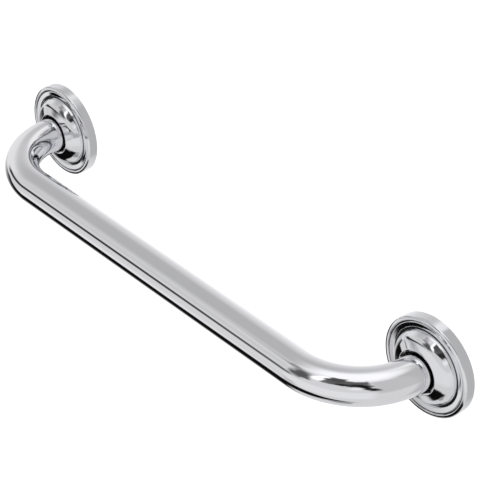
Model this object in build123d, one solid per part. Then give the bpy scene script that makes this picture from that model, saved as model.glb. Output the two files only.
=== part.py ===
from build123d import *
import os

os.makedirs("parts", exist_ok=True)

# Grab bar with a return bend at each end and a stepped round cover over each wall plate.
# All sizes in millimetres. The wall is the plane y = 0 and the bar stands off it towards -Y.
# The origin is the centre of the left end on the wall, +X runs along the bar, +Z is up.

# tube
TUBE_OD = 25.4
TUBE_WALL = 1.2
CENTRES = 380.0        # left end axis to right end axis
STAND_OFF = 68.0       # wall to tube axis
BEND_R = 52.0          # bend radius on the tube axis

# wall plates, welded to the tube ends
PLATE_T = 3.0
COVER_FIT = 0.10       # radial clearance between plate edge and cover skirt
PLATE_BORE = 21.0
SCREW_PCD = 40.0
SCREW_HOLE = 5.5
SCREW_COUNT = 3
WELD_LEG = 2.5
WELD_GAP = 0.05

# covers, as radius and height above the wall
COVER_DIA = 70.0
SKIN = 0.9
COLLAR_GAP = 1.4       # radial gap between the tube and the collar
SHOULDER_H = 7.12      # outer edge, before its rounding
CROWN_R, CROWN_H = 33.4, 7.7      # where the rim's face turns down
BEAD_R, BEAD_H = 32.3, 7.7        # inner edge of the rim
GROOVE_R, GROOVE_H = 31.7, 6.4    # bottom of the fine groove inside the rim
RING_R, RING_H = 31.0, 7.3        # outer edge of the flat ring
EDGE_R, EDGE_H = 27.7, 6.9        # inner edge of the flat ring
COVE_R, COVE_H = 26.5, 5.2        # foot of the boss
STEP_R, STEP_H = 25.3, 8.2        # top of the boss's steep foot
DOME_R, DOME_H = 22.3, 12.2       # top of its shoulder
LIP_R, LIP_H = 15.4, 14.8         # collar

cover_r = COVER_DIA / 2
plate_r = cover_r - SKIN - COVER_FIT
bore_r = TUBE_OD / 2 + COLLAR_GAP


# ---- tube: one hollow sweep, both ends butted on the plates ----
def bar_path():
    return FilletPolyline(
        (0, -PLATE_T, 0),
        (0, -STAND_OFF, 0),
        (CENTRES, -STAND_OFF, 0),
        (CENTRES, -PLATE_T, 0),
        radius=BEND_R,
    )


with BuildPart() as tube:
    with BuildLine():
        bar_path()
    with BuildSketch(Plane(origin=(0, -PLATE_T, 0), x_dir=(1, 0, 0), z_dir=(0, -1, 0))):
        Circle(TUBE_OD / 2)
        Circle(TUBE_OD / 2 - TUBE_WALL, mode=Mode.SUBTRACT)
    sweep()


# ---- wall plate: disc with a centre hole, screw holes and the weld round the tube ----
with BuildPart() as plate:
    with BuildSketch(Plane(origin=(0, 0, 0), x_dir=(1, 0, 0), z_dir=(0, -1, 0))):
        Circle(plate_r)
        Circle(PLATE_BORE / 2, mode=Mode.SUBTRACT)
        with PolarLocations(SCREW_PCD / 2, SCREW_COUNT, start_angle=90):
            Circle(SCREW_HOLE / 2, mode=Mode.SUBTRACT)
    extrude(amount=PLATE_T)
    chamfer(plate.edges().filter_by(GeomType.CIRCLE).sort_by(SortBy.RADIUS)[-2:].sort_by(Axis.Y)[0], 0.5)
    weld_r = TUBE_OD / 2 + WELD_GAP
    with BuildSketch(Plane.XY):
        with BuildLine():
            Polyline(
                (weld_r, -PLATE_T),
                (weld_r + WELD_LEG, -PLATE_T),
                (weld_r, -PLATE_T - WELD_LEG),
                close=True,
            )
        make_face()
    revolve(axis=Axis.Y)


# ---- cover: thin stepped shell, revolved about the leg of the tube ----
def at(r, h):
    return (r, -h)


outer = [
    (cover_r, 0.0),
    (cover_r, SHOULDER_H),
    (CROWN_R, CROWN_H),
    (BEAD_R, BEAD_H),
    (GROOVE_R, GROOVE_H),
    (RING_R, RING_H),
    (EDGE_R, EDGE_H),
    (COVE_R, COVE_H),
    (STEP_R, STEP_H),
    (DOME_R, DOME_H),
    (LIP_R, LIP_H),
    (bore_r, LIP_H - 0.7),
]
inner = [
    (bore_r, LIP_H - 1.6),
    (LIP_R - 0.3, LIP_H - 1.1),
    (DOME_R - 0.6, DOME_H - 0.9),
    (STEP_R - 0.8, STEP_H - 0.5),
    (COVE_R - 1.0, COVE_H - 0.9),
    (COVE_R + 0.8, COVE_H - 0.9),
    (EDGE_R + 0.6, EDGE_H - 1.2),
    (GROOVE_R - 1.3, GROOVE_H - 1.1),
    (BEAD_R + 0.9, GROOVE_H - 1.0),
    (cover_r - SKIN, SHOULDER_H - 2.2),
    (cover_r - SKIN, 0.0),
]
rounds = [
    (outer[1], 1.2),
    (outer[2], 4.3),
    (outer[3], 0.5),
    (outer[4], 0.2),
    (outer[5], 0.5),
    (outer[6], 1.0),
    (outer[7], 0.4),
    (outer[8], 3.0),
    (outer[9], 8.0),
    (outer[10], 0.8),
    (outer[11], 0.3),
    (inner[2], 7.0),
]

with BuildPart() as cover:
    with BuildSketch(Plane.XY) as skin:
        with BuildLine():
            Polyline(*[at(r, h) for r, h in outer + inner], close=True)
        make_face()
        for (r, h), rad in rounds:
            v = skin.vertices().sort_by_distance((r, -h, 0))[0]
            fillet(v, radius=rad)
    revolve(axis=Axis.Y)

right = Location((CENTRES, 0, 0))
nodes = {
    "grab_bar_tube": tube.part,
    "left_wall_plate": plate.part,
    "right_wall_plate": right * plate.part,
    "left_cover": cover.part,
    "right_cover": right * cover.part,
}

for name, solid in nodes.items():
    shape = solid.solids()[0]
    shape.label = name
    print(name, "volume", round(shape.volume, 1), "valid", shape.is_valid, "solids", len(solid.solids()))
    export_step(shape, "parts/" + name + ".step")
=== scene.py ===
import math

import bpy
from mathutils import Matrix, Vector


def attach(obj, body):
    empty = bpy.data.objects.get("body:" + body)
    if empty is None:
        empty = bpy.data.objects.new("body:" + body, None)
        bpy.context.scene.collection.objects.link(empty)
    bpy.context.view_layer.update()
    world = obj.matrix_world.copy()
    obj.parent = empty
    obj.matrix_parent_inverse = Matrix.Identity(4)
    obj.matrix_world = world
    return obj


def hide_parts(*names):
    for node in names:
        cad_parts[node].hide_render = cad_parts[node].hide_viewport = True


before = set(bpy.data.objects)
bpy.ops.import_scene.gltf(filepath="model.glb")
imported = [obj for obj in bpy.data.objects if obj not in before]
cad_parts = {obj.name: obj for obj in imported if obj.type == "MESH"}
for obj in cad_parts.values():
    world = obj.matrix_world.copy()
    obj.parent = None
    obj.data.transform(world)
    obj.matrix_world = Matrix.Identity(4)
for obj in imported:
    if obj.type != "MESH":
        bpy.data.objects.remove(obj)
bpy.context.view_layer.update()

scene = bpy.context.scene

# ------------------------------------------------------------------ sizes, in metres
MM = 0.001
TUBE_R = 12.7 * MM
TUBE_BORE_R = 11.5 * MM
CENTRES = 380.0 * MM
STAND_OFF = 68.0 * MM
BEND_R = 52.0 * MM
PLATE_T = 3.0 * MM
COVER_R = 35.0
SKIN = 0.9
BORE_R = 12.7 + 1.4

# outer and inner line of a cover as radius, height above the wall, rounding, in millimetres
COVER_OUTER = [
    (COVER_R, 0.0, 0.0),
    (COVER_R, 7.12, 1.2),
    (33.4, 7.7, 4.3),
    (32.3, 7.7, 0.5),
    (31.7, 6.4, 0.2),
    (31.0, 7.3, 0.5),
    (27.7, 6.9, 1.0),
    (26.5, 5.2, 0.4),
    (25.3, 8.2, 3.0),
    (22.3, 12.2, 8.0),
    (15.4, 14.8, 0.8),
    (BORE_R, 14.1, 0.3),
]
COVER_INNER = [
    (BORE_R, 13.2, 0.0),
    (15.1, 13.7, 0.0),
    (21.7, 11.3, 7.0),
    (24.5, 7.7, 0.0),
    (25.5, 4.3, 0.0),
    (27.3, 4.3, 0.0),
    (28.3, 5.7, 0.0),
    (30.4, 5.3, 0.0),
    (33.2, 5.4, 0.0),
    (COVER_R - SKIN, 4.92, 0.0),
    (COVER_R - SKIN, 0.0, 0.0),
]
# places on the outer line darkened by painted shade, standing in for the dark reflections in the creases: radius,
# height, reach
PAINTED_SHADE_CREASES = [(31.7, 6.4, 0.65), (26.3, 5.5, 1.25), (BORE_R, 13.6, 1.0)]


# ------------------------------------------------------------------ mesh helpers
def new_object(name, verts, faces, sharp_deg=40.0):
    mesh = bpy.data.meshes.new(name)
    mesh.from_pydata(verts, [], faces)
    mesh.validate()
    mesh.shade_smooth()
    mesh.set_sharp_from_angle(angle=math.radians(sharp_deg))
    mesh.update()
    obj = bpy.data.objects.new(name, mesh)
    scene.collection.objects.link(obj)
    return obj


def bar_path():
    """Points and directions along the tube's axis, from the left plate to the right plate."""
    pts = []
    straight = STAND_OFF - BEND_R
    for i in range(5):
        pts.append((Vector((0, -PLATE_T - (straight - PLATE_T) * i / 5, 0)), Vector((0, -1, 0))))
    n = 72
    for i in range(n + 1):
        a = math.pi / 2 * i / n
        pts.append((
            Vector((BEND_R - BEND_R * math.cos(a), -straight - BEND_R * math.sin(a), 0)),
            Vector((math.sin(a), -math.cos(a), 0)),
        ))
    m = 40
    for i in range(1, m):
        pts.append((Vector((BEND_R + (CENTRES - 2 * BEND_R) * i / m, -STAND_OFF, 0)), Vector((1, 0, 0))))
    return pts + [(Vector((CENTRES - p.x, p.y, 0)), Vector((t.x, -t.y, 0))) for p, t in reversed(pts[: 5 + n + 1])]


def make_tube(name, around=144):
    path = bar_path()
    verts, faces = [], []
    for radius in (TUBE_R, TUBE_BORE_R):
        for p, t in path:
            side = Vector((-t.y, t.x, 0))
            for k in range(around):
                a = 2 * math.pi * k / around
                verts.append(p + radius * (math.cos(a) * side + math.sin(a) * Vector((0, 0, 1))))
    rows = len(path)
    for shell in (0, 1):
        base = shell * rows * around
        for i in range(rows - 1):
            for k in range(around):
                a, b = base + i * around + k, base + i * around + (k + 1) % around
                f = (a, b, b + around, a + around)
                faces.append(f[::-1] if shell else f)
    for i in (0, rows - 1):
        for k in range(around):
            a, b = i * around + k, i * around + (k + 1) % around
            c, d = a + rows * around, b + rows * around
            f = (a, b, d, c)
            faces.append(f[::-1] if i == 0 else f)
    return new_object(name, verts, faces)


def rounded(points, steps):
    """A line through the points with each corner rounded by its own radius."""
    out = []
    for i, (r, h, rad) in enumerate(points):
        here = Vector((r, h))
        if rad <= 0 or i in (0, len(points) - 1):
            out.append(here)
            continue
        back = (Vector(points[i - 1][:2]) - here)
        ahead = (Vector(points[i + 1][:2]) - here)
        u, v = back.normalized(), ahead.normalized()
        half = math.acos(max(-1.0, min(1.0, u.dot(v)))) / 2
        cut = rad / math.tan(half)
        centre = here + (u + v).normalized() * (rad / math.sin(half))
        a, b = here + u * cut - centre, here + v * cut - centre
        turn = math.atan2(a.x * b.y - a.y * b.x, a.dot(b))
        for k in range(steps + 1):
            t = turn * k / steps
            out.append(centre + Vector((a.x * math.cos(t) - a.y * math.sin(t), a.x * math.sin(t) + a.y * math.cos(t))))
    return out


def divided(line, longest):
    """The line with its long runs cut into shorter ones."""
    out = [line[0]]
    for a, b in zip(line, line[1:]):
        n = max(1, math.ceil((b - a).length / longest))
        out += [a + (b - a) * (k / n) for k in range(1, n + 1)]
    return out


def make_cover(name, x, around=224):
    outer = COVER_OUTER[:-1] + [COVER_OUTER[-1], COVER_INNER[0]]
    line = rounded(outer, 12)
    inside = rounded([COVER_INNER[0]] + COVER_INNER[1:], 6)
    ring = divided(line, 1.2)[:-1] + divided(inside, 2.0)
    verts, faces = [], []
    for q in ring:
        for k in range(around):
            a = 2 * math.pi * k / around
            verts.append((x + q.x * MM * math.cos(a), -q.y * MM, q.x * MM * math.sin(a)))
    n = len(ring)
    for i in range(n):
        for k in range(around):
            a, b = i * around + k, i * around + (k + 1) % around
            c, d = ((i + 1) % n) * around + k, ((i + 1) % n) * around + (k + 1) % around
            faces.append((a, b, d, c))
    obj = new_object(name, verts, faces)
    # painted shade: how dark each point of the outline is painted, from its nearness to a crease
    dark = obj.data.attributes.new("painted_crease_shade", "FLOAT", "POINT")
    amount = [max(math.exp(-((q.x - r) ** 2 + (q.y - h) ** 2) / reach ** 2) for r, h, reach in PAINTED_SHADE_CREASES) for q in ring]
    dark.data.foreach_set("value", [c for c in amount for _ in range(around)])
    return obj


# ------------------------------------------------------------------ node helpers
class Tree:
    def __init__(self, tree):
        self.t = tree
        tree.nodes.clear()

    def add(self, kind, **props):
        node = self.t.nodes.new(kind)
        for k, v in props.items():
            setattr(node, k, v)
        return node

    def link(self, a, b):
        self.t.links.new(a, b)

    def put(self, socket, value):
        if isinstance(value, bpy.types.NodeSocket):
            self.link(value, socket)
        else:
            socket.default_value = value

    def math(self, op, a, b=None, c=None):
        node = self.add("ShaderNodeMath", operation=op)
        for i, v in enumerate((a, b, c)):
            if v is not None:
                self.put(node.inputs[i], v)
        return node.outputs[0]

    def smooth(self, x, lo, hi):
        """0 below lo, 1 above hi, smooth between. With lo above hi it falls."""
        node = self.add("ShaderNodeMapRange", interpolation_type="SMOOTHSTEP")
        rising = lo <= hi
        self.put(node.inputs["Value"], x)
        self.put(node.inputs["From Min"], lo if rising else hi)
        self.put(node.inputs["From Max"], hi if rising else lo)
        self.put(node.inputs["To Min"], 0.0 if rising else 1.0)
        self.put(node.inputs["To Max"], 1.0 if rising else 0.0)
        return node.outputs["Result"]

    def ramp(self, x, lo, hi, a, b):
        node = self.add("ShaderNodeMapRange")
        self.put(node.inputs["Value"], x)
        self.put(node.inputs["From Min"], lo)
        self.put(node.inputs["From Max"], hi)
        self.put(node.inputs["To Min"], a)
        self.put(node.inputs["To Max"], b)
        return node.outputs["Result"]

    def noise(self, vector, scale, detail=2.0, rough=0.5):
        node = self.add("ShaderNodeTexNoise")
        self.put(node.inputs["Vector"], vector)
        node.inputs["Scale"].default_value = scale
        node.inputs["Detail"].default_value = detail
        node.inputs["Roughness"].default_value = rough
        return node.outputs["Fac"]


def chrome(name, tint, polish_axis, painted_crease_shade=False):
    """Polished plate: a faint haze of wiping, a few dried spots, a very slight waviness and, on the covers, painted
    shade in the grooves that darkens them nearly to black."""
    mat = bpy.data.materials.new(name)
    mat.use_nodes = True
    n = Tree(mat.node_tree)
    out = n.add("ShaderNodeOutputMaterial")
    bsdf = n.add("ShaderNodeBsdfPrincipled")
    n.link(bsdf.outputs[0], out.inputs[0])
    bsdf.inputs["Metallic"].default_value = 1.0
    pos = n.add("ShaderNodeTexCoord").outputs["Object"]
    # wiping marks drawn out along the piece
    stretch = n.add("ShaderNodeMapping")
    n.link(pos, stretch.inputs["Vector"])
    stretch.inputs["Scale"].default_value = polish_axis
    wipe = n.noise(stretch.outputs[0], 90.0, 4.0, 0.6)
    haze = n.noise(pos, 38.0, 3.0, 0.55)
    # dried drops
    cells = n.add("ShaderNodeTexVoronoi", feature="F1")
    n.link(pos, cells.inputs["Vector"])
    cells.inputs["Scale"].default_value = 140.0
    drop = n.smooth(cells.outputs["Distance"], 0.15, 0.09)
    some = n.smooth(n.noise(pos, 60.0, 1.0), 0.62, 0.72)
    drops = n.math("MULTIPLY", drop, some)
    rough = n.math("ADD", n.ramp(wipe, 0.3, 0.7, 0.035, 0.06), n.ramp(haze, 0.35, 0.7, 0.0, 0.025))
    rough = n.math("ADD", rough, n.math("MULTIPLY", drops, 0.02))
    mix = n.add("ShaderNodeMix", data_type="RGBA")
    n.link(n.math("MULTIPLY", n.math("ADD", n.ramp(haze, 0.35, 0.75, 0.0, 0.6), n.math("MULTIPLY", drops, 0.3)), 0.5), mix.inputs["Factor"])
    mix.inputs[6].default_value = (*tint, 1.0)
    mix.inputs[7].default_value = (tint[0] * 0.94, tint[1] * 0.94, tint[2] * 0.95, 1.0)
    colour = mix.outputs[2]
    # painted shade: on the covers the creases are darkened nearly to black and made rougher, standing in for shade and
    # dark reflections there
    if painted_crease_shade:
        crease_shade_amount = n.add("ShaderNodeAttribute", attribute_name="painted_crease_shade").outputs["Fac"]
        crease_shade_mix = n.add("ShaderNodeMix", data_type="RGBA")
        n.link(n.math("MULTIPLY", n.smooth(crease_shade_amount, 0.25, 0.85), n.ramp(wipe, 0.2, 0.6, 0.9, 1.0)), crease_shade_mix.inputs["Factor"])
        n.link(colour, crease_shade_mix.inputs[6])
        crease_shade_mix.inputs[7].default_value = (0.012, 0.012, 0.013, 1.0)
        colour = crease_shade_mix.outputs[2]
        rough = n.math("MULTIPLY_ADD", crease_shade_amount, 0.25, rough)
    n.link(colour, bsdf.inputs["Base Color"])
    n.link(rough, bsdf.inputs["Roughness"])
    wave = n.noise(pos, 26.0, 1.0)
    bump = n.add("ShaderNodeBump")
    bump.inputs["Strength"].default_value = 0.06
    bump.inputs["Distance"].default_value = 0.0005
    n.link(n.math("ADD", wave, n.math("MULTIPLY", wipe, 0.02)), bump.inputs["Height"])
    n.link(bump.outputs[0], bsdf.inputs["Normal"])
    return mat


def plate_steel(name):
    """Bare rolled steel: turned marks, darker scale in random blotches and a few rubs."""
    mat = bpy.data.materials.new(name)
    mat.use_nodes = True
    n = Tree(mat.node_tree)
    out = n.add("ShaderNodeOutputMaterial")
    bsdf = n.add("ShaderNodeBsdfPrincipled")
    n.link(bsdf.outputs[0], out.inputs[0])
    bsdf.inputs["Metallic"].default_value = 1.0
    pos = n.add("ShaderNodeTexCoord").outputs["Object"]
    roll = n.add("ShaderNodeMapping")
    n.link(pos, roll.inputs["Vector"])
    roll.inputs["Scale"].default_value = (1.0, 1.0, 18.0)
    grain = n.noise(roll.outputs[0], 160.0, 5.0, 0.65)
    blot = n.noise(pos, 55.0, 4.0, 0.6)
    ramp = n.add("ShaderNodeValToRGB")
    n.link(blot, ramp.inputs["Fac"])
    ramp.color_ramp.elements[0].position = 0.30
    ramp.color_ramp.elements[0].color = (0.40, 0.39, 0.38, 1)
    ramp.color_ramp.elements[1].position = 0.72
    ramp.color_ramp.elements[1].color = (0.60, 0.60, 0.59, 1)
    n.link(ramp.outputs[0], bsdf.inputs["Base Color"])
    n.link(n.ramp(grain, 0.3, 0.7, 0.30, 0.48), bsdf.inputs["Roughness"])
    bump = n.add("ShaderNodeBump")
    bump.inputs["Strength"].default_value = 0.25
    bump.inputs["Distance"].default_value = 0.0002
    n.link(grain, bump.inputs["Height"])
    n.link(bump.outputs[0], bsdf.inputs["Normal"])
    return mat


# ------------------------------------------------------------------ the object
tube_mat = chrome("tube_chrome_plate", (0.880, 0.881, 0.907), (0.12, 1.0, 1.0))
cover_mat = chrome("cover_chrome_plate", (0.835, 0.838, 0.862), (1.0, 0.3, 1.0), painted_crease_shade=True)
steel_mat = plate_steel("rolled_steel")

tube = make_tube("bar_tube")
tube.data.materials.append(tube_mat)
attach(tube, "bar")
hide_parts("grab_bar_tube")

for side, x in (("left", 0.0), ("right", CENTRES)):
    cover = make_cover(side + "_cover_shell", x)
    cover.data.materials.append(cover_mat)
    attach(cover, side + "_cover")
    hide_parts(side + "_cover")
    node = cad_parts[side + "_wall_plate"]
    node.data.materials.clear()
    node.data.materials.append(steel_mat)

# ------------------------------------------------------------------ floor
FLOOR_Z = -0.30
floor_mesh = bpy.data.meshes.new("floor")
S = 60.0
floor_mesh.from_pydata([(-S, -S, FLOOR_Z), (S, -S, FLOOR_Z), (S, S, FLOOR_Z), (-S, S, FLOOR_Z)], [], [(0, 1, 2, 3)])
floor = bpy.data.objects.new("floor", floor_mesh)
scene.collection.objects.link(floor)
floor_mat = bpy.data.materials.new("pale_floor")
floor_mat.use_nodes = True
n = Tree(floor_mat.node_tree)
out = n.add("ShaderNodeOutputMaterial")
bsdf = n.add("ShaderNodeBsdfPrincipled")
n.link(bsdf.outputs[0], out.inputs[0])
bsdf.inputs["Base Color"].default_value = (0.9, 0.9, 0.9, 1)
bsdf.inputs["Roughness"].default_value = 0.9
bsdf.inputs["Emission Color"].default_value = (1, 1, 1, 1)
bsdf.inputs["Emission Strength"].default_value = 0.55
floor.data.materials.append(floor_mat)
floor.visible_glossy = False

# ------------------------------------------------------------------ studio surroundings
world = bpy.data.worlds.new("studio")
scene.world = world
world.use_nodes = True
w = Tree(world.node_tree)
w_out = w.add("ShaderNodeOutputWorld")
bg = w.add("ShaderNodeBackground")
w.link(bg.outputs[0], w_out.inputs[0])
direction = w.add("ShaderNodeTexCoord").outputs["Generated"]
xyz = w.add("ShaderNodeSeparateXYZ")
w.link(direction, xyz.inputs[0])
AZ = w.math("MULTIPLY", w.math("ARCTAN2", xyz.outputs[0], w.math("MULTIPLY", xyz.outputs[1], -1.0)), 57.29578)
EL = w.math("MULTIPLY", w.math("ARCSINE", xyz.outputs[2]), 57.29578)


def line(points):
    """Height of a bent line over the azimuth, through the given (azimuth, elevation) points."""
    total = points[0][1]
    for (a0, e0), (a1, e1) in zip(points, points[1:]):
        total = w.math("ADD", w.ramp(AZ, a0, a1, 0.0, e1 - e0), total)
    return total


def between(x, lo, hi, soft):
    return w.math("MULTIPLY", w.smooth(x, lo - soft, lo + soft), w.smooth(x, hi + soft, hi - soft))


def panel(az0, az1, el0, el1, soft_az, soft_el, az=None, el=None):
    """1 inside a panel of the surroundings, 0 outside, with soft edges."""
    return w.math("MULTIPLY", between(az or AZ, az0, az1, soft_az), between(el or EL, el0, el1, soft_el))


def over(level, mask, value):
    """level with value laid over it where mask is 1."""
    return w.math("MULTIPLY_ADD", mask, w.math("SUBTRACT", value, level), level)


# the same directions with a slow wobble, for things with an uneven outline
def wobble(offset, scale, size):
    shift = w.add("ShaderNodeVectorMath", operation="ADD")
    w.link(direction, shift.inputs[0])
    shift.inputs[1].default_value = offset
    return w.math("MULTIPLY_ADD", w.noise(shift.outputs[0], scale, 3.0), size, -size / 2)


AZW = w.math("ADD", AZ, wobble((0.0, 0.0, 0.0), 6.0, 18.0))
ELW = w.math("ADD", EL, wobble((7.3, 2.1, 5.7), 7.0, 16.0))

# light from overhead, paler walls lower down
level = w.ramp(EL, 52.0, 74.0, 0.72, 1.10)
# light band over the table, pale wall behind, greyer wall to the right
level = over(level, panel(-122, -46, -44, -24, 8, 5), 0.88)
BACK = w.math("WRAP", AZ, 360.0, 0.0)
lower = w.math("MULTIPLY_ADD", EL, 0.45, BACK)
level = over(level, w.math("MULTIPLY", w.smooth(lower, 236, 212), w.math("MULTIPLY", w.smooth(BACK, 150, 200), between(EL, -62, 30, 12))), 0.82)
level = over(level, panel(-126, -98, -58, -34, 6, 6), 0.88)
level = over(level, panel(68, 120, -6, 58, 5, 6), 0.58)
level = over(level, w.math("MULTIPLY", between(BACK, 114, 196, 7), between(EL, -52, 60, 7)), 0.52)
# bright wall behind, low on the left
low = w.math("MULTIPLY", w.smooth(EL, 18, -16), w.smooth(EL, -60, -44))
level = over(level, w.math("MULTIPLY", between(BACK, 210, 235, 6), low), 0.96)
# lighter left wall, and a pale corner behind
level = over(level, panel(-120, -70, -42, 28, 9, 9), 0.84)
level = over(level, w.math("MULTIPLY", between(BACK, 187, 212, 7), between(EL, -4, 58, 9)), 0.94)
# grey side of the room
level = over(level, panel(-138, -55, 31, 66, 16, 14), 0.50)
level = over(level, panel(-52, -36, 17, 28, 4, 4), 0.64)
# far edge of the table
edge = w.math("SUBTRACT", EL, line([(-84, -2), (-72, 1.5), (-48, 1.8), (-36, 2.5)]))
level = over(level, w.math("MULTIPLY", between(edge, -5.0, 5.0, 2.2), w.math("MULTIPLY", w.smooth(AZ, -86, -74), w.smooth(AZ, -20, -29))), 0.03)
# dark table under the bar
top = w.math("SUBTRACT", EL, line([(-84, -12), (-74, -12), (-68, -22), (-60, -30), (-55, -39), (-39, -39.5), (-19, -42), (-7, -45), (6, -50), (20, -54), (40, -58), (60, -60)]))
foot = w.math("SUBTRACT", EL, line([(-122, -65), (-75, -60), (-62, -58), (-44, -63), (-34, -66), (-9, -68), (10, -66)]))
dark = w.math("MULTIPLY", w.smooth(top, 1.5, -2.5), w.smooth(foot, -4.0, 4.0))
left = w.math("MULTIPLY_ADD", EL, -0.35, AZ)
ends = w.math("MULTIPLY", w.smooth(left, -103, -65), w.smooth(AZ, 64, 18))
level = over(level, w.math("MULTIPLY", dark, ends), 0.004)
level = over(level, panel(-6, 42, -80, -65, 6, 4), 0.34)
# the camera's side of the room
level = over(level, panel(-34, 66, -36, 1, 8, 5), 0.83)
level = over(level, panel(-38, -22, -39, -23, 5, 4), 0.58)
level = over(level, panel(-50, -30, 41, 52, 6, 4, AZW, ELW), 0.27)
level = over(level, panel(-31, -14, 9, 50, 5, 7, AZW, ELW), 0.13)
level = over(level, panel(-25, -7, 20, 43, 4, 5, AZW, ELW), 0.10)
level = over(level, panel(-9, 4, 35, 63, 3.5, 6), 1.4)
level = over(level, panel(40, 53, 18, 28, 5, 3), 0.95)
level = over(level, panel(6, 65, 33, 64, 3, 4, AZW, ELW), 0.12)
level = over(level, panel(24, 60, 33, 46, 5, 3, AZW, ELW), 0.025)
lean = w.math("MULTIPLY_ADD", ELW, 0.42, AZW)
level = over(level, panel(66, 76, 10, 48, 3, 4, lean), 0.012)
level = over(level, panel(0, 30, 51, 73, 4, 3, AZW, ELW), 0.08)
grey = w.add("ShaderNodeCombineColor")
for i in range(3):
    w.link(level, grey.inputs[i])
w.link(grey.outputs[0], bg.inputs["Color"])
bg.inputs["Strength"].default_value = 1.0

# ------------------------------------------------------------------ camera
cam_data = bpy.data.cameras.new("camera")
cam = bpy.data.objects.new("camera", cam_data)
scene.collection.objects.link(cam)
scene.camera = cam
FOCAL_PX, DIST, PX, PY = 1781.4, 1.2090, 195.6, 252.3
az, el = math.radians(49.0), math.radians(34.26)
back = Vector((math.sin(az) * math.cos(el), -math.cos(az) * math.cos(el), math.sin(el)))
right = Vector((0, 0, 1)).cross(back).normalized()
up = back.cross(right)
target = Vector((CENTRES / 2, -STAND_OFF / 2, 0))
cam.location = target + DIST * (back - right * ((PX - 240) / FOCAL_PX) + up * ((PY - 240) / FOCAL_PX))
cam.matrix_world = Matrix.Translation(cam.location) @ Matrix((right, up, back)).transposed().to_4x4()
cam_data.sensor_width = 36.0
cam_data.lens = FOCAL_PX / 480.0 * 36.0
cam_data.clip_start, cam_data.clip_end = 0.01, 200.0

scene.view_settings.view_transform = "Standard"
scene.view_settings.look = "None"
